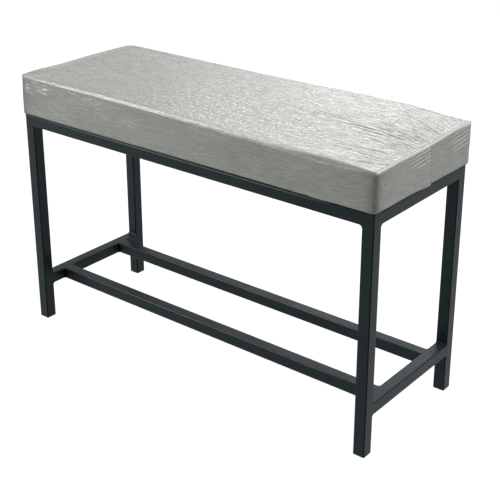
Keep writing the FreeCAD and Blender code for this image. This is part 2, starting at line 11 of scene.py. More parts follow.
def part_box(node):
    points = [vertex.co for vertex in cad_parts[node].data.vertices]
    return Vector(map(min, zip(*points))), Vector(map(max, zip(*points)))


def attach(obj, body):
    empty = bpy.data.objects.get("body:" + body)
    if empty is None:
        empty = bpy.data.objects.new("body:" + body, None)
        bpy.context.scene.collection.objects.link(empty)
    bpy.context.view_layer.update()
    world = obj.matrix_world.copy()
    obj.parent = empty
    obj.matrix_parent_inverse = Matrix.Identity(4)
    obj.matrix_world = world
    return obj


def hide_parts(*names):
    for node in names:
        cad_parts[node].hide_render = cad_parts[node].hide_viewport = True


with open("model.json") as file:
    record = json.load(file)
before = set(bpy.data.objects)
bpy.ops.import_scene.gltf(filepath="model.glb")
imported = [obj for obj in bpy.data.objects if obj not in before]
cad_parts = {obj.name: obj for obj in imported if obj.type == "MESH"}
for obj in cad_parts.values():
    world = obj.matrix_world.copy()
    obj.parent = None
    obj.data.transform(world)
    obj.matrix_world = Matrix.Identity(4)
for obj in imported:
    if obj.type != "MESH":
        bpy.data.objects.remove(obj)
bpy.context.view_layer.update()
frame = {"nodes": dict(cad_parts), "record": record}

# Hotel luggage bench, dressed around its CAD frame. Metres, in the frame's axes: +X along the bench
# to its right end, +Y to its back and +Z up.

MM = 0.001

# ---- camera

CAMERA_PLACE = Vector((1.5307, -1.8464, 1.3896))
CAMERA_TURN = math.radians(38.67)  # from looking along +Y towards -X
CAMERA_TILT = math.radians(21.55)  # downward
CAMERA_LENS = 80.26  # mm, on Blender's 36 mm sensor
CAMERA_SHIFT = -0.138  # the photo is cropped so that its centre lies above the object

# ---- sizes of the pad

COVER_LOW, COVER_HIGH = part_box("seat_cover")
BOARD_LOW, BOARD_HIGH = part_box("seat_board")
HALF_X = COVER_HIGH.x
HALF_Y = COVER_HIGH.y
PAD_LOW = COVER_LOW.z
PAD_TOP = COVER_HIGH.z
CROWN_RADIUS = 6.0
CORNER = 6 * MM  # upright corners, as seen from above
LOWER_ROUND = 4.5 * MM  # turn of the cover under the board
SEAM_ROUND = 1.6 * MM  # the top's sewn end edges
SEAM_RIDGE = 0.9 * MM  # a sewn end to the ridge and to the groove along its seam
SEAM_GROOVE = 2.6 * MM
SEAM_WIDTH = 0.8 * MM
HEM = 42 * MM  # edge of the pad to the raw edge of the fold under the board
PLEAT_TOP = 12.5 * MM  # Y of the pleat on the pad's ends, at the top seam and at the bottom
PLEAT_BOTTOM = 22.5 * MM
PLEAT_STEP = 1.7 * MM  # thickness of the cloth folded over
PLEAT_DROP = 3.4 * MM  # how far the fold's corner hangs lower
LIP_DROP = 3 * MM  # how far the lower edge bulges down at the front and back
END_BULGE = 2.4 * MM  # how far the right end stands out at its back
CORNER_PULL = 2.2 * MM  # how far the front left corner is drawn in at its top
BOARD_GIVE = 0.55 * MM  # the deepest that the cover dips where the board is behind it


def rise(low, high, value):
    """0 up to low, 1 from high on, and smooth between them. It falls where high is below low."""
    share = np.clip((value - low) / (high - low), 0, 1)
    return share * share * (3 - 2 * share)


def hump(value, middle, width):
    """1 at its middle, falling off smoothly over a width on both sides."""
    return np.exp(-(((value - middle) / width) ** 2))


def groove(off, width, shoulder, spread_out):
    """Section across a crease: a groove 1 deep with a low shoulder on both sides."""
    return shoulder * hump(off, 0, spread_out * width) - hump(off, 0, width)


def patches(x, y, length, width, seed):
    """Smooth noise over a plane, from about -1 to 1, with features of this length and width in mm."""
    table = np.random.default_rng(seed).uniform(0, 2 * np.pi, (256, 256))
    x, y = x / (length * MM), y / (width * MM)
    x0, y0 = np.floor(x).astype(int), np.floor(y).astype(int)
    fx, fy = x - x0, y - y0
    total = 0
    for ix in (0, 1):
        for iy in (0, 1):
            angle = table[(x0 + ix) % 256, (y0 + iy) % 256]
            slope = np.cos(angle) * (fx - ix) + np.sin(angle) * (fy - iy)
            wx = fx if ix else 1 - fx
            wy = fy if iy else 1 - fy
            total = total + slope * wx**3 * (wx * (6 * wx - 15) + 10) * wy**3 * (wy * (6 * wy - 15) + 10)
    return total * 1.5


def ridges(x, y, length, width, seed):
    """Noise with sharp crests, from about -1 to 1."""
    return 1 - 2.6 * np.abs(patches(x, y, length, width, seed))


def spaced(start, stop, step):
    return np.linspace(start, stop, max(2, round(abs(stop - start) / step) + 1))


# ---- plain skin of the pad

TOP_STEP = 2.2 * MM  # between two columns of the top
DEPTH_STEP = 1.8 * MM  # between two rows
SIDE_ROWS = 43
TURN_ROWS = 6


def edge_columns():
    """Places along X: fine at the sewn ends and even between them, and how far the ends turn down."""
    turn = np.linspace(0, 1, 4)[1:]
    end = np.concatenate([spaced(22 * MM, 8 * MM, 1.6 * MM)[:-1], spaced(8 * MM, SEAM_ROUND, 0.8 * MM)])
    end = HALF_X - end
    bend = HALF_X - SEAM_ROUND + SEAM_ROUND * np.sin(turn * np.pi / 2)
    right = np.concatenate([end, bend])
    drop = np.concatenate([np.zeros(len(end)), SEAM_ROUND * (1 - np.cos(turn * np.pi / 2))])
    middle = spaced(-right[0], right[0], TOP_STEP)[1:-1]
    x = np.concatenate([-right[::-1], middle, right])
    dropped = np.concatenate([drop[::-1], np.zeros(len(middle)), drop])
    return x, dropped


def front_roll(x):
    """Radius of the front's rolled top edge: tight at the corners, widest before the right one."""
    wide = 6.0 + 7.0 * rise(0.18, 0.42, x) - 1.5 * rise(-0.3, -0.46, x)
    corner = rise(HALF_X - 95 * MM, HALF_X - 6 * MM, np.abs(x))
    return (wide * (1 - corner) + 2.6 * corner) * MM


def back_roll(x):
    corner = rise(HALF_X - 42 * MM, HALF_X - 2 * MM, np.abs(x))
    return (8 * (1 - corner) + 3.0 * corner) * MM


def row_shares():
    """Shares of the depth from front to back: even, and finer where the end pleats lie."""
    pleat_reach = (PLEAT_TOP - 6 * MM, PLEAT_BOTTOM + 6 * MM)
    fine_low, fine_high = [0.5 + y / (2 * HALF_Y) for y in pleat_reach]
    step = DEPTH_STEP / (2 * HALF_Y)
    return np.concatenate([
        spaced(0, fine_low, step)[:-1],
        spaced(fine_low, fine_high, step / 3)[:-1],
        spaced(fine_high, 1, step),
    ])


def top_grid():
    """The top with its rolls: points (columns, rows, 3) and flat cloth places."""
    x, dropped = edge_columns()
    turns = np.linspace(np.pi / 2, 0, 10)[:-1]
    share = row_shares()
    points = np.zeros((len(x), 2 * len(turns) + len(share), 3))
    flat = np.zeros((len(x), points.shape[1], 2))
    for column, (place, drop) in enumerate(zip(x, dropped)):
        front, back = front_roll(place), back_roll(place)
        front_edge, back_edge = front - HALF_Y, HALF_Y - back
        flat_y = front_edge + share * (2 * HALF_Y - front - back)
        crown = PAD_TOP - flat_y**2 / (2 * CROWN_RADIUS)
        y = [front_edge - front * np.sin(turns), flat_y, back_edge + back * np.sin(turns[::-1])]
        z = [crown[0] - front * (1 - np.cos(turns)), crown, crown[-1] - back * (1 - np.cos(turns[::-1]))]
        along = [front_edge - front * turns, flat_y, back_edge + back * turns[::-1]]
        points[column, :, 0] = place
        points[column, :, 1] = np.concatenate(y)
        points[column, :, 2] = np.concatenate(z) - drop
        flat[column, :, 0] = place
        flat[column, :, 1] = np.concatenate(along)
    inner = np.array([HALF_X - CORNER, HALF_Y - CORNER])
    over = np.abs(points[..., :2]) - inner
    at_corner = (over > 0).all(axis=-1)
    reach = over[at_corner]
    rounded = reach * (reach.max(axis=1) / np.linalg.norm(reach, axis=1))[:, None]
    points[at_corner, :2] = np.sign(points[at_corner, :2]) * (inner + rounded)
    return points, flat


def ring_of(grid):
    """Indices of a grid's rim, counterclockwise from its front left corner."""
    return np.concatenate([
        grid[:, 0],
        grid[-1, 1:],
        grid[-2::-1, -1],
        grid[0, -2:0:-1],
    ])


def grid_quads(grid):
    """The quads between the points of a grid of indices."""
    return np.stack([grid[:-1, :-1], grid[1:, :-1], grid[1:, 1:], grid[:-1, 1:]], axis=-1).reshape(-1, 4)


def rows_down_from(top):
    """The rows of points below the top's rim: down the sides, round the lower edge and in to the hem."""
    # plan direction outward at each place of the rim
    ahead = np.roll(top, -1, axis=0) - np.roll(top, 1, axis=0)
    outward = np.stack([ahead[:, 1], -ahead[:, 0]], axis=1)
    outward /= np.linalg.norm(outward, axis=1)[:, None]
    x, y, rim_z = top.T
    low = PAD_LOW + LOWER_ROUND
    rows = []
    for share in np.linspace(0, 1, SIDE_ROWS + 1)[1:]:
        rows.append((x, y, rim_z + (low - rim_z) * share))
    for turn in np.linspace(0, 1, TURN_ROWS + 1)[1:]:
        angle = turn * np.pi / 2
        shift = -LOWER_ROUND * (1 - math.cos(angle))
        z = np.full(len(top), low - LOWER_ROUND * math.sin(angle))
        rows.append((x + outward[:, 0] * shift, y + outward[:, 1] * shift, z))
    for share in (0.35, 0.65, 1.0):
        reach = LOWER_ROUND + share * (HEM - LOWER_ROUND)
        hem = (x * (1 - reach / HALF_X), y * (1 - reach / HALF_Y))
        rows.append((*hem, np.full(len(top), PAD_LOW)))
    rows.append((*hem, np.full(len(top), BOARD_LOW.z - 0.1 * MM)))
    return [np.stack(row, axis=1) for row in rows]


def cover_mesh():
    """The skin, open at its hem, as points, quads, flat cloth places and the number of top points."""
    points, flat = top_grid()
    columns, rows = points.shape[:2]
    index = np.arange(columns * rows).reshape(columns, rows)
    quads = [grid_quads(index)]
    before = ring_of(index)
    top = points.reshape(-1, 3)[before]
    step = np.linalg.norm(np.diff(top[:, :2], axis=0, append=top[:1, :2]), axis=1)
    along = np.concatenate([[0], np.cumsum(step)[:-1]])

    all_points = [points.reshape(-1, 3)]
    all_flat = [flat.reshape(-1, 2)]
    previous = top
    down = np.zeros(len(top))
    start = columns * rows
    for row in rows_down_from(top):
        down = down + np.linalg.norm(row - previous, axis=1)
        here = np.arange(start, start + len(row))
        all_points.append(row)
        # on the flat cloth the sides lie 1 m away from the top
        all_flat.append(np.stack([along, -down - 1.0], axis=1))
        quads.append(np.stack([before, here, np.roll(here, -1), np.roll(before, -1)], axis=1))
        previous, before = row, here
        start += len(row)
    return np.concatenate(all_points), np.concatenate(quads), np.concatenate(all_flat), columns * rows


def new_object(name, data):
    made = bpy.data.objects.new(name, data)
    bpy.context.scene.collection.objects.link(made)
    return made


def mesh_object(name, points, faces):
    mesh = bpy.data.meshes.new(name)
    mesh.from_pydata(np.asarray(points).tolist(), [], [list(face) for face in faces])
    mesh.validate()
    return new_object(name, mesh)


def normals_of(points, quads):
    a, b, c, d = (points[quads[:, corner]] for corner in range(4))
    across = np.cross(c - a, d - b)
    total = np.zeros_like(points)
    for corner in range(4):
        np.add.at(total, quads[:, corner], across)
    return total / np.maximum(np.linalg.norm(total, axis=1), 1e-12)[:, None]


# ---- relief of the cover

FINE_CRINKLES = 0.17 * MM  # heights of the top's three sizes of crinkles
WIDE_CRINKLES = 0.07 * MM
TINY_CRINKLES = 0.15 * MM
GATHER_REACH = 170 * MM  # how far before a sewn end the gathers begin to fan out
GATHER_FOCUS = -60 * MM  # the Y that they fan out from
WHOLE_TOP = (-0.48, 0.49, -0.17, 0.175)  # X from and to, Y from and to
RIGHT_TOP = (0.12, 0.49, -0.12, 0.18)
UPPER_SIDE = (-0.48, 0.48, PAD_TOP - 75 * MM, PAD_TOP - 8 * MM)  # X from and to, Z from and to
LEFT_OF_FRONT = (-0.49, -0.40, PAD_TOP - 42 * MM, PAD_TOP - 9 * MM)


def streaks(x, y, seed, count, box, half_lengths, widths, depths, slope=0.05):
    """Short grooves that run along X, each with a low swelling on both sides.

    Half lengths, widths and depths are each a least and a greatest value in mm.
    """
    half_lengths, widths, depths = MM * np.array([half_lengths, widths, depths])
    draw = np.random.default_rng(seed)
    height = np.zeros(x.shape)
    for _ in range(count):
        middle_x, middle_y = draw.uniform(box[0], box[1]), draw.uniform(box[2], box[3])
        reach, width, depth = draw.uniform(*half_lengths), draw.uniform(*widths), draw.uniform(*depths)
        lean, bow = draw.normal(0, slope), draw.normal(0, 0.4)
        near = (np.abs(x - middle_x) < 1.6 * reach) & (np.abs(y - middle_y) < 0.35 * reach + 6 * width)
        along = x[near] - middle_x
        off = y[near] - middle_y - lean * along - bow * along**2
        fade = np.exp(-((along / reach) ** 4))
        height[near] += depth * fade * groove(off, width, 0.45, 2.6)
    return height


def gathers(x, y, seed):
    """Long creases that run to a sewn end at x = HALF_X, drawn towards the front as they near it."""
    draw = np.random.default_rng(seed)
    past_start = x - (HALF_X - GATHER_REACH)
    near_end = np.clip(past_start / GATHER_REACH, 0, 1)
    place = GATHER_FOCUS + (y - GATHER_FOCUS) * (1 + 0.42 * near_end**2.2)
    place = place - 0.07 * past_start * (1 - near_end)
    place = place + 1.6 * MM * patches(x, y, 45, 30, seed + 1)
    height = np.zeros(x.shape)
    crease = GATHER_FOCUS - 110 * MM
    while crease < 260 * MM:
        width, depth = draw.uniform(1.7, 2.5) * MM, draw.uniform(0.9, 1.7) * MM
        begin = HALF_X - draw.uniform(45, 190) * MM
        fade = rise(begin, begin + 40 * MM, x)
        fade *= 1 - 0.35 * rise(-14 * MM, -2 * MM, x - HALF_X)
        broken = 0.8 + 0.4 * patches(x, np.full(x.shape, crease), 30, 10, seed + 2)
        height += depth * fade * broken * groove(place - crease, width, 0.5, 2.8)
        crease += draw.uniform(13, 23) * MM
    return height


def top_relief(x, v):
    """Heights of the crinkles and of the creases. v goes along the cloth from front to back."""
    warp = 2.5 * MM * patches(x, v, 70, 30, seed=1)
    relief = FINE_CRINKLES * ridges(x, v + warp, 30, 5, seed=2)
    relief += WIDE_CRINKLES * ridges(x, v + 2 * warp, 75, 14, seed=3)
    relief += TINY_CRINKLES * patches(x, v + warp, 9, 3.6, seed=4)
    relief *= 0.6 + 0.25 * rise(-0.35, 0.1, x) + 0.3 * patches(x, v, 160, 90, seed=5)
    creases = streaks(x, v, seed=6, count=420, box=WHOLE_TOP, half_lengths=(8, 38),
                      widths=(1.0, 1.7), depths=(0.1, 0.5))
    creases += streaks(x, v, seed=7, count=150, box=RIGHT_TOP, half_lengths=(14, 60),
                       widths=(1.1, 1.9), depths=(0.25, 0.7))
    creases += 0.85 * gathers(x, v, seed=8)
    creases += 0.5 * gathers(-x, v, seed=11)
    return relief, creases


def pleat_line(z):
    share = (z - PAD_LOW) / (PAD_TOP - PAD_LOW)
    return PLEAT_BOTTOM + (PLEAT_TOP - PLEAT_BOTTOM) * share


def end_relief(y, z, seed):
    """Outward heights over one end: the front wing folded over the back one, and the pulls this makes."""
    off = y - pleat_line(z) - 0.7 * MM * patches(z, 0 * z, 20, 1000, seed)
    wing = 0.25 + 0.75 * rise(-0.085, -0.004, off)
    folded = PLEAT_STEP * rise(0.7 * MM, -0.7 * MM, off) * wing
    folded += 0.35 * MM * hump(off, -1.8 * MM, 1.6 * MM) - 0.6 * MM * hump(off, 1.0 * MM, 1.1 * MM)
    folded += 0.5 * MM * patches(y, z, 45, 35, seed + 2)
    folded += 0.10 * MM * ridges(y, z, 28, 7.5, seed + 3)
    folded += 0.14 * MM * patches(y, z, 20, 12, seed + 4)

    under_seam = PAD_TOP - z
    stray = patches(y, z, 30, 20, seed + 1)
    pulled = rise(0.075, 0.030, under_seam) * rise(-0.150, -0.015, off) * (off < 0)
    turns = (under_seam + 0.06 * off + 0.5 * MM) / (8.5 * MM)
    ripples = 0.80 * MM * pulled * np.sin(2 * np.pi * turns + 1.5 * stray)
    pulled = rise(0.080, 0.120, y) * rise(0.176, 0.160, y)
    pulled *= rise(0.070, 0.035, under_seam)
    turns = (under_seam + 0.04 * (y - 0.11)) / (9.5 * MM)
    ripples += 0.75 * MM * pulled * np.sin(2 * np.pi * turns + 1.8 * stray)
    return folded, ripples


def long_side_relief(x, z, seed):
    """Outward height over the front or back: shallow lengthwise crinkles."""
    warp = 5 * MM * patches(x, z, 90, 50, seed)
    relief = 0.09 * MM * ridges(x, z + warp, 45, 6.5, seed + 1)
    relief += 0.16 * MM * patches(x, z + warp, 110, 16, seed + 2)
    relief *= 0.7 + 0.5 * patches(x, z, 200, 80, seed + 3) + 0.35 * rise(0, 0.4, x)
    return relief + streaks(x, z, seed + 4, count=160, box=UPPER_SIDE, half_lengths=(12, 45),
                            widths=(1.2, 2.0), depths=(0.03, 0.16))


def front_marks(x, z):
    """Short pulls in the front, near its left end, whose crests get a painted highlight."""
    return streaks(x, z, seed=45, count=16, box=LEFT_OF_FRONT, half_lengths=(5, 15),
                   widths=(1.2, 1.8), depths=(0.3, 0.8), slope=0.15)


def unevenness(x, y):
    """How much higher than its plain form the pad stands. It is lower along its sewn ends."""
    front = 3.3 - 9.6 * rise(-0.25, 0.40, x)
    back = 5.3 + 4.2 * rise(-0.05, 0.30, x) - 8.5 * rise(0.34, 0.50, x)
    share = rise(-0.17, 0.17, y)
    left = -4.8 * hump(x, -HALF_X, 20 * MM) * rise(-0.16, -0.04, y)
    right = -4.3 * hump(x, HALF_X, 45 * MM) * hump(y, 0, 90 * MM)
    return MM * (front * (1 - share) + back * share + left + right)


# ---- the foam's push, by simulation

FORM_SMALLER = 3 * MM  # the simulated form starts this much inside the pad's skin
FORM_VOXEL = 6 * MM
FORM_FRAMES = 20
MOST_MOVE = 5 * MM
FIRMNESS = 0.3  # how strongly the foam holds the skin at its place, as a pin weight
FIRMNESS_SPREAD = 0.11
SWELLING_SHARE = 1.25  # of the simulated moves, which come out a little flat
MOST_SWELLING = 1.3 * MM
CLOTH_SETTINGS = dict(
    quality=5, mass=0.3, tension_stiffness=15, compression_stiffness=15, shear_stiffness=5,
    bending_stiffness=0.05, use_pressure=True, uniform_pressure_force=4, vertex_group_mass="held",
    pin_stiffness=0.04,
)


def evaluated_mesh(item):
    return bpy.data.meshes.new_from_object(item.evaluated_get(bpy.context.evaluated_depsgraph_get()))


def places_of(mesh):
    places = np.zeros(len(mesh.vertices) * 3, np.float32)
    mesh.vertices.foreach_get("co", places)
    return places.reshape(-1, 3).astype(float)


def foam_form():
    """A closed plain form just inside the pad's skin, remeshed evenly."""
    work = bmesh.new()
    bmesh.ops.create_cube(work, size=2)
    low, high = PAD_LOW + 1 * MM, PAD_TOP - FORM_SMALLER - 1 * MM
    for vertex in work.verts:
        x = vertex.co.x * (HALF_X - FORM_SMALLER)
        y = vertex.co.y * (HALF_Y - FORM_SMALLER)
        vertex.co = (x, y, high if vertex.co.z > 0 else low)
    mesh = bpy.data.meshes.new("pad_form")
    work.to_mesh(mesh)
    work.free()
    form = new_object("pad_form", mesh)
    remesh = form.modifiers.new("remesh", "REMESH")
    remesh.mode = "VOXEL"
    remesh.voxel_size = FORM_VOXEL
    even = evaluated_mesh(form)
    form.modifiers.clear()
    form.data = even
    bpy.data.meshes.remove(mesh)
    return form


def hold_by_firmness(form, places):
    """Holds the form firmly low down, and by foam of uneven firmness above."""
    x, y, z = places.T
    upper = z > PAD_LOW + 8 * MM
    on_top = z > PAD_TOP - FORM_SMALLER - 4 * MM
    across = np.where(on_top, y / (38 * MM), z / (34 * MM))
    along = np.where(np.abs(x) > HALF_X - 8 * MM, y, x)
    firmness = patches(along, across + 9.5, 85, 1000, seed=91)
    firmness += 0.6 * patches(x, across * 1.9 + y / (50 * MM), 30, 1000, seed=92)
    weights = FIRMNESS * (1 + FIRMNESS_SPREAD * firmness)
    group = form.vertex_groups.new(name="held")
    for index, (free, weight) in enumerate(zip(upper.tolist(), weights.tolist())):
        group.add([index], weight if free else 1.0, "REPLACE")


def press_from_inside(form):
    """The mesh that a cloth simulation on the form ends with."""
    cloth = form.modifiers.new("cloth", "CLOTH")
    for name, value in CLOTH_SETTINGS.items():
        setattr(cloth.settings, name, value)
    cloth.settings.effector_weights.gravity = 0
    cloth.collision_settings.use_collision = False
    cloth.point_cache.frame_start = 1
    cloth.point_cache.frame_end = FORM_FRAMES
    for frame_number in range(1, FORM_FRAMES + 1):
        bpy.context.scene.frame_set(frame_number)
    swollen = evaluated_mesh(form)
    bpy.context.scene.frame_set(1)
    return swollen


def carried_over(values, places, corners, points):
    """The values at the form's places, carried over to the points from its nearest faces."""
    tree = BVHTree.FromPolygons(places.tolist(), corners.tolist())
    found = [tree.find_nearest(point)[:3:2] for point in points.tolist()]
    touch = np.array([place[:] for place, _ in found])
    triangle = corners[[face for _, face in found]]
    a, b, c = (places[triangle[:, corner]] for corner in range(3))
    sides = ((b - a, c - a), (b - touch, c - touch), (c - touch, a - touch))
    whole, at_a, at_b = (np.linalg.norm(np.cross(*pair), axis=1) for pair in sides)
    share_a, share_b = at_a / whole, at_b / whole
    shares = np.stack([share_a, share_b, 1 - share_a - share_b], axis=1)
    return (values[triangle] * shares[:, :, None]).sum(axis=1)


def swelling(points, normals):
    """How far foam of uneven firmness pushes the skin out or lets it in at each point."""
    form = foam_form()
    start = places_of(form.data)
    hold_by_firmness(form, start)
    swollen = press_from_inside(form)
    moves = places_of(swollen) - start
    lengths = np.maximum(np.linalg.norm(moves, axis=1), 1e-9)
    moves *= (np.minimum(lengths, MOST_MOVE) / lengths)[:, None]
    swollen.calc_loop_triangles()
    corners = np.array([triangle.vertices[:] for triangle in swollen.loop_triangles])
    bpy.data.objects.remove(form)
    bpy.data.meshes.remove(swollen)
    outward = (carried_over(moves, start, corners, points) * normals).sum(axis=1)

    # each face's usual bulge at a distance from its edges is taken off
    x, y, z = points.T
    from_sides = [HALF_X - np.abs(x), HALF_Y - np.abs(y), PAD_TOP - z]
    from_edge = np.sort(np.stack(from_sides), axis=0)[1]
    lift = np.zeros(len(points))
    rings = np.arange(0, HALF_Y, 4 * MM)
    faces = [normals[:, 2] > 0.8]
    faces += [sign * normals[:, axis] > 0.8 for axis in (0, 1) for sign in (1, -1)]
    for face in faces:
        ring = np.digitize(from_edge[face], rings)
        here = [number for number in range(len(rings) + 1) if (ring == number).sum() > 20]
        usual = [np.median(outward[face][ring == number]) for number in here]
        middle = [np.mean(from_edge[face][ring == number]) for number in here]
        lift[face] = outward[face] - np.interp(from_edge[face], middle, usual)
    lift = np.clip(SWELLING_SHARE * lift, -MOST_SWELLING, MOST_SWELLING)
    lift *= rise(6 * MM, 32 * MM, from_edge)
    return lift * rise(PAD_LOW + 6 * MM, PAD_LOW + 28 * MM, z)


# ---- the cover


class Skin:
    """The pad's plain skin: where each point is, and how much it belongs to each side."""

    def __init__(self):
        self.points, self.quads, self.flat, top_count = cover_mesh()
        self.normals = normals_of(self.points, self.quads)
        self.x, self.y, self.z = self.points.T
        facing_x, facing_y, self.facing_up = self.normals.T
        self.top = np.arange(len(self.points)) < top_count
        upright = rise(0.75, 0.1, np.abs(self.facing_up))
        ways = (-facing_y, facing_y, -facing_x, facing_x)
        self.front, self.back, self.left, self.right = (rise(0.6, 0.95, way) * upright for way in ways)
        self.ends = self.right + self.left
        self.front_half = self.y < -HALF_Y / 2
        self.from_front = self.y + HALF_Y
        self.from_end = HALF_X - np.abs(self.x)
        self.from_pleat = self.y - pleat_line(self.z)
        self.below_seam = self.below_top(2, 9)
        # 0 where the cloth is pulled smooth behind the front's roll, in a band wider at the right
        self.slack = rise(8 * MM, (9 + 22 * rise(0, 0.3, self.x)) * MM, self.from_front)
        # how much the top's relief shows: it fades out down the rolls
        self.crinkled = rise(0.5, 0.97, self.facing_up) * self.top * (0.25 + 0.75 * self.slack)
        # the stretches of the lower edge that bulge down over the rails
        self.lip = rise(HALF_Y - 3.0 * MM, HALF_Y - 1.8 * MM, np.abs(self.y))
        self.lip *= rise(-HALF_X + 4 * MM, -HALF_X + 16 * MM, self.x)
        self.lip *= rise(0.42, 0.33, self.x)

    def below_top(self, start, end):
        """0 at the first depth in mm below the top, and 1 at the second."""
        return rise(PAD_TOP - start * MM, PAD_TOP - end * MM, self.z)

    def above_bottom(self, start, end):
        """0 at the first height in mm above the bottom, and 1 at the second."""
        return rise(PAD_LOW + start * MM, PAD_LOW + end * MM, self.z)


def relief_of(skin):
    """Height of the relief over the plain skin. The skin keeps what its tones depend on."""
    x, y, z, top = skin.x, skin.y, skin.z, skin.top
    relief, skin.creases = np.zeros((2, len(x)))
    relief[top], skin.creases[top] = top_relief(x[top], skin.flat[top, 1])
    height = (relief + skin.creases) * skin.crinkled
    seam = 0.28 * hump(skin.from_end, SEAM_RIDGE, SEAM_WIDTH)
    seam -= 0.6 * hump(skin.from_end, SEAM_GROOVE, SEAM_WIDTH)
    height += MM * seam * top * rise(0.15, 0.75, skin.facing_up)

    # the rolled edges waver a little
    roll = rise(0.98, 0.8, skin.facing_up) * rise(0.02, 0.3, skin.facing_up)
    waver = 0.20 * patches(x, 3.3 * np.sign(y), 55, 1000, seed=21)
    waver += 0.07 * patches(x, 5.7 * np.sign(y), 17, 1000, seed=22)
    height += MM * waver * roll * (np.abs(y) > HALF_Y / 2)

    skin.marks = skin.front * front_marks(x, z)
    height += skin.marks + skin.front * long_side_relief(x, z, 40) + skin.back * long_side_relief(x, z, 50)
    skin.pulls = np.zeros(len(x))
    for side, seed in ((skin.right, 60), (skin.left, 70)):
        folded, ripples = end_relief(y, z, seed)
        height += side * skin.below_seam * folded
        skin.pulls += side * skin.below_seam * ripples
    height += skin.pulls

    # the upright corners are creased, and beside the front ones the ends turn away softly
    over = np.abs(skin.points[:, :2]) - np.array([HALF_X - CORNER, HALF_Y - CORNER])
    turned = np.degrees(np.arctan2(over[:, 0], over[:, 1]))
    skin.bent = np.exp(-(((turned - 45) / 38) ** 4)) * (over > 0).all(axis=1)
    skin.bent *= (1 - np.abs(skin.facing_up)) ** 0.5 * skin.below_top(2, 12)
    skin.uneven = 1 + 0.35 * patches(z, 7 * x + 3 * y, 12, 1000, seed=80)
    height -= 0.6 * MM * skin.bent * skin.uneven
    height -= 1.0 * MM * hump(skin.from_front, 0, 11 * MM) * skin.ends * skin.below_top(3, 14)
    height[z < PAD_LOW + 2 * MM] *= 0.1
    return height


def most(*shares):
    return np.maximum.reduce(shares)


def painted_shade_of(skin):
    """Painted shade on the cover: in its creases and seams, beside its corners and along its front edge.
    """
    x, top, facing_up = skin.x, skin.top, skin.facing_up
    # painted shade: the front's edge is darker on its roll and behind it, towards the right
    roll_shade = most(
        0.42 * hump(facing_up, 0.36, 0.2) * rise(-0.08, 0.02, x),
        0.20 * (1 - skin.slack) * top * rise(0, 0.25, x),
        0.12 * hump(skin.from_front, front_roll(x) + 5 * MM, 4 * MM) * top,
    )
    fading = np.where(skin.front > 0.5, skin.from_end / (17 * MM), skin.from_front / (19 * MM))
    shade_beside_corner = np.exp(-np.maximum(fading, 0)) * np.maximum(skin.front, skin.ends)
    # all painted shade: crease and seam grooves, the creased upright corners, the front's edge, beside the
    # corners, the troughs of the end's pulls and beside the pleat
    return most(
        np.clip(-skin.creases / (0.55 * MM) - 0.35, 0, 1) * skin.crinkled,
        hump(skin.from_end, SEAM_GROOVE, SEAM_WIDTH) * top,
        0.72 * skin.bent * np.clip(skin.uneven, 0, 1.3),
        roll_shade * skin.front_half * rise(0.02, 0.12, facing_up),
        shade_beside_corner * skin.below_top(1, 16),
        0.22 * np.clip(-skin.pulls / (0.5 * MM), 0, 1),
        0.9 * hump(skin.from_pleat, 1.9 * MM, 2.2 * MM) * skin.below_seam * skin.ends,
    )


def painted_highlight_of(skin):
    """Painted highlight on the cover: on the end seams, the front's roll, the crests of the pulls and
    marks, and the pleats.
    """
    x, facing_up = skin.x, skin.facing_up
    near_top = skin.z > PAD_TOP - skin.y**2 / (2 * CROWN_RADIUS) - 4.4 * MM
    roll_highlight = hump(facing_up, 0.80, 0.16) * rise(0.998, 0.96, facing_up) * skin.front_half
    roll_highlight *= np.clip(0.8 + 0.4 * patches(x, 0 * x + 2.7, 22, 1000, seed=23), 0, 1)
    return most(
        (skin.from_end < 1.7 * MM) * near_top * rise(0.98, 0.85, facing_up),
        (0.74 + 0.2 * rise(-0.1, 0.05, x)) * roll_highlight * rise(0.36, 0.24, x),
        0.5 * np.clip(skin.pulls / (0.5 * MM) - 0.3, 0, 1),
        0.5 * np.clip(skin.marks / (0.14 * MM) - 0.4, 0, 1),
        0.36 * hump(skin.from_pleat, -1.6 * MM, 1.5 * MM) * skin.below_seam * skin.ends,
    )


def crinkling_of(skin):
    """How strongly the coating's fine crinkle shows: most on the top, and more to its right."""
    on_top = (0.52 + 0.13 * rise(-0.35, 0.15, skin.x)) * skin.crinkled + 0.3 * (1 - skin.crinkled)
    return np.where(skin.top, on_top, 0.3 + 0.15 * skin.right)


def painted_glints_of(skin):
    """How much painted glitter the coating gets, pale flecks as painted glints and dark ones as painted
    shade: most about the middle of the top and towards its front.
    """
    return (0.25 + 0.75 * hump(skin.x, 0.03, 0.24) * rise(0.12, -0.06, skin.y)) * skin.crinkled


def under_edge_shade_of(skin, points):
    """Painted shade where each point is tucked in under the pad's edge: the shadow gap over the frame,
    painted near black.
    """
    under = rise(-0.12, -0.45, skin.facing_up) * (skin.z < PAD_LOW + LOWER_ROUND)
    at_edge = (np.abs(skin.y) > HALF_Y - 3.2 * MM) & (skin.z < PAD_LOW + 12 * MM)
    below = rise(PAD_LOW + 2.4 * MM, PAD_LOW + 1.5 * MM, points[:, 2]) * at_edge
    return np.where(skin.lip > 0.5, below, under)


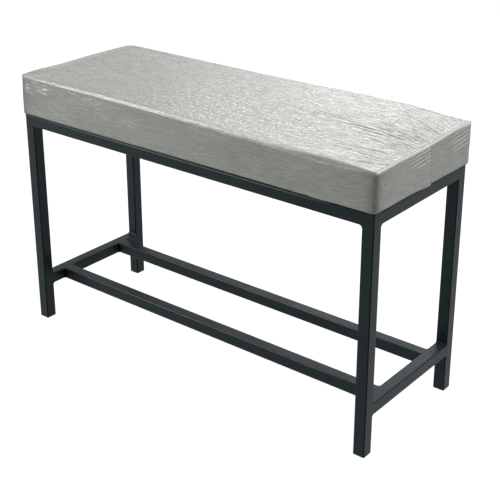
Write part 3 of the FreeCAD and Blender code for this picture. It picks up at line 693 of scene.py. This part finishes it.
def moved_points(skin, height):
    """The skin's points raised by a height and drawn to the pad's uneven form."""
    x, y, z = skin.x, skin.y, skin.z
    beside_board = z < BOARD_HIGH.z + 4 * MM
    height = np.where(beside_board, np.maximum(height, -BOARD_GIVE), height)
    points = skin.points + skin.normals * height[:, None]
    points[:, 2] += unevenness(x, y) * np.clip((z - PAD_LOW) / (PAD_TOP - PAD_LOW), 0, 1)

    # the tucked edge bulges down over the frame
    points[:, 2] -= LIP_DROP * skin.lip * skin.above_bottom(12, 3)

    # the pleat's corner hangs over the edge of the frame
    hang = rise(2.5 * MM, -2 * MM, skin.from_pleat)
    hang *= rise(-0.090, -0.001, skin.from_pleat) ** 2
    points[:, 2] -= PLEAT_DROP * hang * (skin.from_end < 1.5 * MM) * skin.above_bottom(22, 4)

    # the right end stands out towards the back
    points[:, 0] += END_BULGE * (x > HALF_X - 12 * MM) * rise(-0.05, 0.17, y)

    # the front left corner is drawn in at its top
    at_corner = rise(-HALF_X + 30 * MM, -HALF_X + 6 * MM, x) * rise(-0.13, -0.175, y)
    points[:, 0] += CORNER_PULL * at_corner * skin.below_top(62, 12)
    return points


def close_hem(cover):
    """Closes the hem with one flat face against the board."""
    work = bmesh.new()
    work.from_mesh(cover.data)
    rim = [edge for edge in work.edges if edge.is_boundary]
    bmesh.ops.holes_fill(work, edges=rim, sides=0)
    work.to_mesh(cover.data)
    work.free()


def make_cover():
    """The sewn cover, with its flat cloth places as a UV map and its tones as attributes, painted shade,
    painted highlights and painted glints among them.
    """
    skin = Skin()
    push = swelling(skin.points, skin.normals)
    points = moved_points(skin, relief_of(skin) + push)
    cover = mesh_object("pad_cover", points, skin.quads)
    close_hem(cover)
    cover.data.shade_smooth()
    layer = cover.data.uv_layers.new(name="cloth")
    vertex = np.zeros(len(cover.data.loops), int)
    cover.data.loops.foreach_get("vertex_index", vertex)
    layer.data.foreach_set("uv", skin.flat[vertex].astype(np.float32).ravel())
    tones = {
        "painted_shade": painted_shade_of(skin),
        "crinkled": crinkling_of(skin),
        "painted_highlight": painted_highlight_of(skin),
        "under_edge_shade": under_edge_shade_of(skin, points),
        "painted_glints": painted_glints_of(skin),
    }
    for name, values in tones.items():
        layer = cover.data.attributes.new(name, "FLOAT", "POINT")
        layer.data.foreach_set("value", np.clip(values, 0, 1).astype(np.float32))
    cover.data.materials.append(silver_vinyl())
    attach(cover, "root")
    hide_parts("seat_cover", "seat_foam")


# ---- cloth under the pad

CLOTH_LOW, CLOTH_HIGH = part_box("dust_cover")
RAIL_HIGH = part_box("top_rail_front")[1]
SIDE_RAIL_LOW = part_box("top_rail_right")[0]
CLOTH_THICKNESS = 0.35 * MM
CLOTH_STEP = 6 * MM
CLOTH_SAG = 1.3 * MM  # between two staples, at the middle of the free span
CLOTH_SLACK = 60 * MM  # from the staples in to where the sag is full
STAPLE_PITCH = 58 * MM
STAPLE_CROWN = 10 * MM
STAPLE_LEG = 5 * MM
STAPLE_WIRE = 0.45 * MM  # half its width
STAPLE_INSET = 4.5 * MM  # from the rails' inner faces
STAPLE_X = SIDE_RAIL_LOW.x - STAPLE_INSET
STAPLE_Y = -RAIL_HIGH.y - STAPLE_INSET


def swept_wire(path, radius, sides=6):
    """Points and faces of a closed wire with a round section that follows a path."""
    path = np.asarray(path, float)
    points, faces = [], []
    for index, place in enumerate(path):
        ahead = path[min(index + 1, len(path) - 1)] - path[max(index - 1, 0)]
        ahead /= np.linalg.norm(ahead)
        side = np.cross(ahead, (0.31, 0.17, 0.93) if abs(ahead[2]) < 0.9 else (0.93, 0.31, 0.17))
        side /= np.linalg.norm(side)
        other = np.cross(ahead, side)
        for turn in np.arange(sides) * 2 * np.pi / sides:
            points.append(place + radius * (np.cos(turn) * side + np.sin(turn) * other))
    for ring in range(len(path) - 1):
        for corner in range(sides):
            near = ring * sides + corner
            beside = ring * sides + (corner + 1) % sides
            faces.append([near, beside, beside + sides, near + sides])
    faces.append(list(range(sides))[::-1])
    faces.append([(len(path) - 1) * sides + corner for corner in range(sides)])
    return points, faces


def joined(parts):
    """One list of points and one of faces from several."""
    points, faces = [], []
    for more_points, more_faces in parts:
        faces += [[index + len(points) for index in face] for face in more_faces]
        points += list(more_points)
    return points, faces


def staple_places():
    """Middles and directions of the staples, inside the rails and clear of the plates and tabs."""
    plate_low, plate_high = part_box("corner_plate_front_right")
    plate_x = plate_low.x - STAPLE_CROWN
    plate_y = -plate_high.y - STAPLE_CROWN
    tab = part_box("middle_tab_front")[1].x + STAPLE_CROWN
    places = []
    for sign in (-1, 1):
        for x in spaced(tab, plate_x, STAPLE_PITCH):
            for side in (-1, 1):
                places.append((side * x, sign * STAPLE_Y, 0.0))
        for y in spaced(-plate_y, plate_y, STAPLE_PITCH):
            places.append((sign * STAPLE_X, y, np.pi / 2))
    return places


def make_dust_cloth():
    """The black cloth: stapled flat at its rim, slack inside that, and lying over the hem."""
    x = spaced(-CLOTH_HIGH.x, CLOTH_HIGH.x, CLOTH_STEP)
    y = spaced(-CLOTH_HIGH.y, CLOTH_HIGH.y, CLOTH_STEP)
    grid_x, grid_y = np.meshgrid(x, y, indexing="ij")
    in_x = rise(STAPLE_X, STAPLE_X - CLOTH_SLACK, np.abs(grid_x))
    in_y = rise(STAPLE_Y, STAPLE_Y - CLOTH_SLACK, np.abs(grid_y))
    ripple = 0.5 + 0.5 * np.cos(grid_x / STAPLE_PITCH * 2 * np.pi) * (1 - in_y)
    fold = patches(grid_x + 1.32 * grid_y, grid_y, 110, 60, seed=31)
    sag = CLOTH_SAG * in_x * in_y * (0.55 + 0.35 * ripple + 0.5 * fold)
    from_hem = np.minimum(HALF_X - HEM - np.abs(grid_x), HALF_Y - HEM - np.abs(grid_y))
    over_hem = 0.25 * MM * rise(3 * MM, -3 * MM, from_hem) * in_x * in_y
    low = CLOTH_LOW.z + 0.2 * MM - sag - over_hem
    faces = [np.stack([grid_x, grid_y, z], axis=-1).reshape(-1, 3) for z in (low + CLOTH_THICKNESS, low)]
    count = grid_x.size
    index = np.arange(count).reshape(grid_x.shape)
    top = grid_quads(index)
    rim = ring_of(index)
    band = np.stack([rim + count, np.roll(rim, -1) + count, np.roll(rim, -1), rim], axis=1)
    quads = np.concatenate([top, top[:, ::-1] + count, band])
    cloth = mesh_object("dust_cloth", np.concatenate(faces), quads)
    cloth.data.shade_smooth()
    cloth.data.materials.append(black_nonwoven())
    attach(cloth, "root")
    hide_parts("dust_cover")


def make_staples():
    """Wire staples: a crown under the black cloth and two legs up into the board."""
    parts = []
    for x, y, turn in staple_places():
        along = np.array([np.cos(turn), np.sin(turn), 0])
        middle = np.array([x, y, CLOTH_LOW.z - 0.1 * MM])
        end = STAPLE_CROWN / 2
        bend = end - 0.7 * MM
        form = [(-end, STAPLE_LEG), (-end, 0.8 * MM), (-bend, 0), (0, -0.15 * MM), (bend, 0),
                (end, 0.8 * MM), (end, STAPLE_LEG)]
        path = [middle + along * reach + np.array([0, 0, up]) for reach, up in form]
        parts.append(swept_wire(path, STAPLE_WIRE))
    staples = mesh_object("dust_cloth_staples", *joined(parts))
    staples.data.shade_smooth()
    staples.data.materials.append(zinc_screw())
    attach(staples, "root")


# ---- materials


def node(tree, kind, inputs=None, **settings):
    """Adds a shader node. An input is given a value or linked from another node's output."""
    made = tree.nodes.new(kind)
    for name, value in settings.items():
        setattr(made, name, value)
    for name, value in (inputs or {}).items():
        if isinstance(value, bpy.types.NodeSocket):
            tree.links.new(value, made.inputs[name])
        else:
            made.inputs[name].default_value = value
    return made


def empty_tree(owner):
    owner.use_nodes = True
    owner.node_tree.nodes.clear()
    return owner.node_tree


def new_material(name):
    material = bpy.data.materials.new(name)
    return material, empty_tree(material)


def add_surface(tree, inputs):
    surface = node(tree, "ShaderNodeBsdfPrincipled", inputs)
    node(tree, "ShaderNodeOutputMaterial", {"Surface": surface.outputs["BSDF"]})


def object_place(tree):
    return node(tree, "ShaderNodeTexCoord").outputs["Object"]


def ramp(tree, factor, *stops):
    made = node(tree, "ShaderNodeValToRGB", {"Fac": factor})
    elements = made.color_ramp.elements
    for index, (position, colour) in enumerate(stops):
        element = elements[index] if index < 2 else elements.new(position)
        element.position = position
        element.color = (*colour, 1)
    return made.outputs["Color"]


def noise(tree, vector, per_metre, detail=2.0, roughness=0.5):
    """Noise with so many features to the metre along each axis."""
    place = node(tree, "ShaderNodeMapping", {"Vector": vector, "Scale": per_metre}).outputs["Vector"]
    inputs = {"Vector": place, "Scale": 1.0, "Detail": detail, "Roughness": roughness}
    return node(tree, "ShaderNodeTexNoise", inputs).outputs["Fac"]


def bump(tree, height, distance, strength, normal=None):
    inputs = {"Height": height, "Distance": distance, "Strength": strength}
    if normal is not None:
        inputs["Normal"] = normal
    return node(tree, "ShaderNodeBump", inputs).outputs["Normal"]


def math_node(tree, operation, first, second=None):
    inputs = {0: first}
    if second is not None:
        inputs[1] = second
    return node(tree, "ShaderNodeMath", inputs, operation=operation).outputs[0]


def times(tree, first, second):
    return math_node(tree, "MULTIPLY", first, second)


def highest(tree, first, second):
    return math_node(tree, "MAXIMUM", first, second)


def spread(tree, value, low, high, to_low, to_high, **settings):
    """A value's range from low to high, spread over another range."""
    inputs = {"Value": value, "From Min": low, "From Max": high, "To Min": to_low, "To Max": to_high}
    return node(tree, "ShaderNodeMapRange", inputs, **settings).outputs["Result"]


def contour_lines(tree, fac, width):
    """Thin lines, 1 at their middle, where a noise crosses its mean."""
    off = math_node(tree, "ABSOLUTE", math_node(tree, "SUBTRACT", fac, 0.5))
    return spread(tree, off, 0.0, width, 1.0, 0.0)


def mixed(tree, factor, first, second):
    """The first colour, mixed by a factor with the second."""
    if not isinstance(second, bpy.types.NodeSocket):
        second = (*second, 1)
    made = node(tree, "ShaderNodeMix", {"Factor": factor, "A": first, "B": second}, data_type="RGBA")
    return made.outputs["Result"]


def attribute(tree, name):
    return node(tree, "ShaderNodeAttribute", attribute_name=name).outputs["Fac"]


SILVER = ((0.32, (0.289, 0.303, 0.279)), (0.5, (0.368, 0.386, 0.356)), (0.68, (0.447, 0.466, 0.433)))
# painted shade in the crinkle lines
SILVER_PAINTED_LINE_SHADE = (0.15, 0.156, 0.146)
# painted shade in creases, seams and corners
SILVER_PAINTED_CREASE_SHADE = (0.062, 0.066, 0.061)
# painted highlight on seams, rolls, crests and pleats
SILVER_PAINTED_HIGHLIGHT = (0.93, 0.945, 0.92)
# pale flecks, painted glints
SILVER_PAINTED_GLINT = (0.85, 0.86, 0.85)
# dark flecks, painted glitter shade
SILVER_PAINTED_FLECK_SHADE = (0.16, 0.168, 0.156)
# near-black painted shade of the shadow gap under the pad's edge
SILVER_PAINTED_UNDER_SHADE = (0.006, 0.007, 0.007)


def silver_vinyl():
    """Silver faux leather: a partly metallic film with crinkles along the cloth.

    It is darker down in its creases, seams and corners by painted shade, pale where it is pulled over an
    edge by painted highlights, and flecked on the top with painted glints and dark painted flecks. The
    edge tucked in over the frame is painted near black as its shadow gap.
    """
    material, tree = new_material("silver_vinyl")
    cloth = node(tree, "ShaderNodeUVMap", uv_map="cloth").outputs["UV"]
    painted_shade = attribute(tree, "painted_shade")
    crinkled = attribute(tree, "crinkled")
    under_edge_shade = attribute(tree, "under_edge_shade")
    painted_glints = attribute(tree, "painted_glints")
    streaked = noise(tree, cloth, (34, 210, 1), 3.0, 0.6)
    threads = noise(tree, cloth, (60, 520, 1))
    cloud = noise(tree, cloth, (6, 12, 1))
    grain = noise(tree, cloth, (500, 1400, 1))
    flecks = noise(tree, cloth, (150, 150, 1), 1.0)
    # thin crinkle lines: bump grooves, with painted shade in them
    lines = contour_lines(tree, noise(tree, cloth, (18, 130, 1), 3.0, 0.55), 0.05)
    lines = times(tree, lines, times(tree, spread(tree, cloud, 0.35, 0.65, 0.25, 1.0), crinkled))

    tone = math_node(tree, "ADD", times(tree, streaked, 0.75), times(tree, cloud, 0.25))
    colour = ramp(tree, tone, *SILVER)
    for share, tint in (
        # painted shade in the crinkle lines
        (times(tree, lines, 0.35), SILVER_PAINTED_LINE_SHADE),
        # painted shade in creases, seams, corners and along the front's edge
        (times(tree, painted_shade, 0.8), SILVER_PAINTED_CREASE_SHADE),
        # painted highlight
        (times(tree, attribute(tree, "painted_highlight"), 0.85), SILVER_PAINTED_HIGHLIGHT),
        # painted glints
        (times(tree, spread(tree, flecks, 0.54, 0.66, 0.0, 0.55), painted_glints), SILVER_PAINTED_GLINT),
        # dark flecks of painted shade between the glints
        (times(tree, spread(tree, flecks, 0.46, 0.36, 0.0, 0.4), painted_glints), SILVER_PAINTED_FLECK_SHADE),
        # near-black painted shade under the pad's edge
        (under_edge_shade, SILVER_PAINTED_UNDER_SHADE),
    ):
        colour = mixed(tree, share, colour, tint)

    gloss = spread(tree, streaked, 0.3, 0.7, 0.36, 0.22)
    rough = math_node(tree, "ADD", gloss, times(tree, painted_shade, 0.25))
    normal = bump(tree, times(tree, streaked, crinkled), 1.4 * MM, 0.6)
    normal = bump(tree, lines, -0.6 * MM, 0.6, normal)
    normal = bump(tree, times(tree, threads, crinkled), 0.5 * MM, 0.5, normal)
    normal = bump(tree, grain, 0.2 * MM, 0.35, normal)
    add_surface(tree, {
        "Base Color": colour,
        "Roughness": rough,
        "Normal": normal,
        "Metallic": spread(tree, under_edge_shade, 0, 1, 0.4, 0.0),
        "Specular IOR Level": spread(tree, under_edge_shade, 0, 1, 0.5, 0.05),
    })
    return material


COAT = ((0.35, (0.0125, 0.023, 0.0265)), (0.65, (0.0165, 0.0285, 0.033)))
# painted highlight on the tubes' upward edges and along the front rail's top
COAT_PAINTED_EDGE_HIGHLIGHT = (0.24, 0.27, 0.27)
# painted shade on the tubes' upright edges
COAT_PAINTED_EDGE_SHADE = (0.002, 0.003, 0.003)
COAT_GLINT = (0.84, 1.0, 1.0, 1)
PAINTED_HIGHLIGHT_BAND = RAIL_HIGH.z - 5.4 * MM  # above this height the front faces of the tubes get a painted highlight


def black_powder_coat():
    """Satin powder coat with a fine orange peel.

    Over the tubes' rounded edges it gets a painted highlight where they look up, and painted shade on the
    upright ones. The painted edge highlights and the painted highlight band along the top of the front
    rail fade towards both ends of the bench.
    """
    material, tree = new_material("black_powder_coat")
    place = object_place(tree)
    peel = noise(tree, place, (900, 900, 900))
    cloud = noise(tree, place, (12, 12, 12), 3.0)
    at = node(tree, "ShaderNodeSeparateXYZ", {"Vector": place}).outputs
    normal = node(tree, "ShaderNodeTexCoord").outputs["Normal"]
    facing = node(tree, "ShaderNodeSeparateXYZ", {"Vector": normal}).outputs
    side_x, side_y, side_z = (math_node(tree, "ABSOLUTE", facing[axis]) for axis in "XYZ")
    flatness = highest(tree, highest(tree, side_x, side_y), side_z)
    edge = spread(tree, flatness, 0.97, 0.85, 0.0, 1.0)
    between_ends = times(tree, spread(tree, at["X"], -0.45, -0.15, 0.25, 1.0),
                         spread(tree, at["X"], 0.31, 0.40, 1.0, 0.0))
    upward_edge_highlight = times(tree, edge, spread(tree, facing["Z"], 0.2, 0.5, 0.0, 1.0))
    band = times(tree, spread(tree, at["Z"], PAINTED_HIGHLIGHT_BAND, PAINTED_HIGHLIGHT_BAND + 1 * MM, 0.0, 1.0),
                 spread(tree, facing["Y"], -0.4, -0.8, 0.0, 1.0))
    # painted highlight: upward edges and the band along the front rail's top
    painted_coat_highlight = times(tree, highest(tree, upward_edge_highlight, band), between_ends)
    # painted shade on the upright edges, with less specular there
    painted_edge_shade = times(tree, edge, spread(tree, side_z, 0.1, 0.3, 1.0, 0.0))
    colour = mixed(tree, painted_coat_highlight, ramp(tree, cloud, *COAT), COAT_PAINTED_EDGE_HIGHLIGHT)
    colour = mixed(tree, painted_edge_shade, colour, COAT_PAINTED_EDGE_SHADE)
    add_surface(tree, {
        "Base Color": colour,
        "Specular IOR Level": spread(tree, painted_edge_shade, 0, 1, 0.2, 0.02),
        "Roughness": spread(tree, cloud, 0.3, 0.7, 0.36, 0.44),
        "Normal": bump(tree, peel, 0.2 * MM, 0.25),
        "Specular Tint": COAT_GLINT,
    })
    return material


def black_plastic():
    """Moulded plastic, matt, with a fine grain and faint scuffs."""
    material, tree = new_material("black_plastic")
    place = object_place(tree)
    grain = noise(tree, place, (1500, 1500, 1500))
    scuff = noise(tree, place, (90, 90, 300), 3.0)
    colour = ramp(tree, scuff, (0.4, (0.011, 0.011, 0.012)), (0.75, (0.03, 0.03, 0.029)))
    normal = bump(tree, grain, 0.1 * MM, 0.4)
    add_surface(tree, {"Base Color": colour, "Normal": normal, "Roughness": 0.55})
    return material


def zinc_screw():
    """Zinc plated steel with fine turning marks."""
    material, tree = new_material("zinc_screw")
    turned = noise(tree, object_place(tree), (300, 300, 2500))
    colour = ramp(tree, turned, (0.3, (0.46, 0.46, 0.45)), (0.7, (0.64, 0.64, 0.62)))
    normal = bump(tree, turned, 0.1 * MM, 0.3)
    add_surface(tree, {"Base Color": colour, "Normal": normal, "Metallic": 1.0, "Roughness": 0.35})
    return material


def plywood():
    """Raw plywood with its grain along the bench."""
    material, tree = new_material("plywood")
    grain = noise(tree, object_place(tree), (8, 160, 400), 4.0, 0.6)
    colour = ramp(tree, grain, (0.35, (0.36, 0.24, 0.13)), (0.7, (0.62, 0.46, 0.29)))
    normal = bump(tree, grain, 0.4 * MM, 0.3)
    add_surface(tree, {"Base Color": colour, "Normal": normal, "Roughness": 0.7})
    return material


def black_nonwoven():
    """Spun-bonded cloth with its small pressed points."""
    material, tree = new_material("black_nonwoven")
    place = object_place(tree)
    fibres = noise(tree, place, (1800, 500, 500), 3.0, 0.7)
    points = node(tree, "ShaderNodeTexVoronoi", {"Vector": place, "Scale": 600.0, "Randomness": 0.15})
    colour = ramp(tree, fibres, (0.3, (0.010, 0.010, 0.011)), (0.7, (0.028, 0.028, 0.030)))
    pressed = bump(tree, points.outputs["Distance"], 0.3 * MM, 0.5)
    normal = bump(tree, fibres, 0.2 * MM, 0.4, pressed)
    add_surface(tree, {"Base Color": colour, "Normal": normal, "Roughness": 0.9})
    return material


def finish_nodes():
    """Gives each CAD node that stays in view its material."""
    finishes = {
        "black_powder_coat": black_powder_coat(),
        "black_plastic": black_plastic(),
        "zinc_screw": zinc_screw(),
        "plywood": plywood(),
    }
    for part in frame["record"]["subparts"]:
        if part["material_slot"] in finishes:
            mesh = frame["nodes"][part["node"]].data
            mesh.materials.clear()
            mesh.materials.append(finishes[part["material_slot"]])


# ---- studio

FLOOR_HALF = 30
FLOOR_WHITE = 0.98
FLOOR_REFLECTED = 0.72
FLOOR_COLOUR = (0.22, 0.22, 0.22, 1)
WORLD_LIGHT = 0.11
BACKDROP_TOP = 0.25  # sine of the elevation up to which reflections show the white backdrop
DOME_START = 0.72
DOME_LIGHT = 0.2
LAMPS = {
    # name: (place, aim, width, height, watts, colour)
    "key_above": ((0.92, 0.14, 2.1), (0.50, 0.02, 0.6), 1.3, 0.7, 30, (1, 1, 1)),
    "rim_back": ((-0.7, 3.3, 2.2), (0.3, 0.0, 0.6), 2.8, 1.2, 19, (1, 1, 1)),
    "fill_left": ((-1.2, -1.3, 1.0), (-0.4, 0.0, 0.6), 1.0, 1.0, 12, (1, 1, 0.96)),
    "strip_left": ((-1.35, 0.1, 2.1), (-0.1, -0.18, 0.64), 2.4, 0.3, 9, (1, 1, 1)),
    "glint_back": ((-1.45, 2.4, 1.8), (0.2, -0.05, 0.64), 1.3, 0.5, 3.0, (1, 0.95, 1)),
}


def seen_directly(tree):
    """1 for rays that show the background itself, and 0 for those that only light the object."""
    path = node(tree, "ShaderNodeLightPath").outputs
    either = highest(tree, path["Is Camera Ray"], path["Is Glossy Ray"])
    return highest(tree, either, path["Is Transmission Ray"])


def make_floor():
    """A wide floor, white to the camera. From below it is clear and doesn't hide the bench."""
    work = bmesh.new()
    bmesh.ops.create_grid(work, x_segments=2, y_segments=2, size=FLOOR_HALF)
    mesh = bpy.data.meshes.new("floor")
    work.to_mesh(mesh)
    work.free()
    material, tree = new_material("floor_white")
    matt = node(tree, "ShaderNodeBsdfDiffuse", {"Color": FLOOR_COLOUR})
    camera_ray = node(tree, "ShaderNodeLightPath").outputs["Is Camera Ray"]
    white = spread(tree, camera_ray, 0, 1, FLOOR_REFLECTED, FLOOR_WHITE)
    glow = node(tree, "ShaderNodeEmission", {"Strength": times(tree, seen_directly(tree), white)})
    both = node(tree, "ShaderNodeAddShader", {0: matt.outputs[0], 1: glow.outputs[0]})
    under = node(tree, "ShaderNodeNewGeometry").outputs["Backfacing"]
    clear = node(tree, "ShaderNodeBsdfTransparent")
    either = node(tree, "ShaderNodeMixShader", {0: under, 1: both.outputs[0], 2: clear.outputs[0]})
    node(tree, "ShaderNodeOutputMaterial", {"Surface": either.outputs[0]})
    mesh.materials.append(material)
    floor = new_object("floor", mesh)


def make_world():
    """Even light from all round. Reflections show the white backdrop, and a dimmer studio above it."""
    world = bpy.data.worlds.new("studio")
    tree = empty_tree(world)
    direction = node(tree, "ShaderNodeTexCoord").outputs["Generated"]
    upward = node(tree, "ShaderNodeSeparateXYZ", {"Vector": direction}).outputs["Z"]
    dome = spread(tree, upward, BACKDROP_TOP, DOME_START, 1.0, DOME_LIGHT, interpolation_type="SMOOTHSTEP")
    camera_ray = node(tree, "ShaderNodeLightPath").outputs["Is Camera Ray"]
    level = spread(tree, seen_directly(tree), 0, 1, WORLD_LIGHT, highest(tree, dome, camera_ray))
    background = node(tree, "ShaderNodeBackground", {"Color": (1, 1, 1, 1), "Strength": level})
    node(tree, "ShaderNodeOutputWorld", {"Surface": background.outputs[0]})
    bpy.context.scene.world = world


def make_lamps():
    for name, (place, aim, width, height, watts, colour) in LAMPS.items():
        lamp = bpy.data.lights.new(name, "AREA")
        lamp.shape = "RECTANGLE"
        lamp.size = width
        lamp.size_y = height
        lamp.energy = watts
        lamp.color = colour
        item = new_object(name, lamp)
        item.location = place
        item.rotation_euler = (Vector(aim) - item.location).to_track_quat("-Z", "Y").to_euler()


def make_camera():
    data = bpy.data.cameras.new("camera")
    data.lens = CAMERA_LENS
    data.shift_y = CAMERA_SHIFT
    camera = new_object("camera", data)
    camera.location = CAMERA_PLACE
    camera.rotation_euler = (math.pi / 2 - CAMERA_TILT, 0, CAMERA_TURN)
    bpy.context.scene.camera = camera
    bpy.context.scene.view_settings.view_transform = "Standard"


# ---- scene

finish_nodes()
make_cover()
make_dust_cloth()
make_staples()
make_floor()
make_world()
make_lamps()
make_camera()
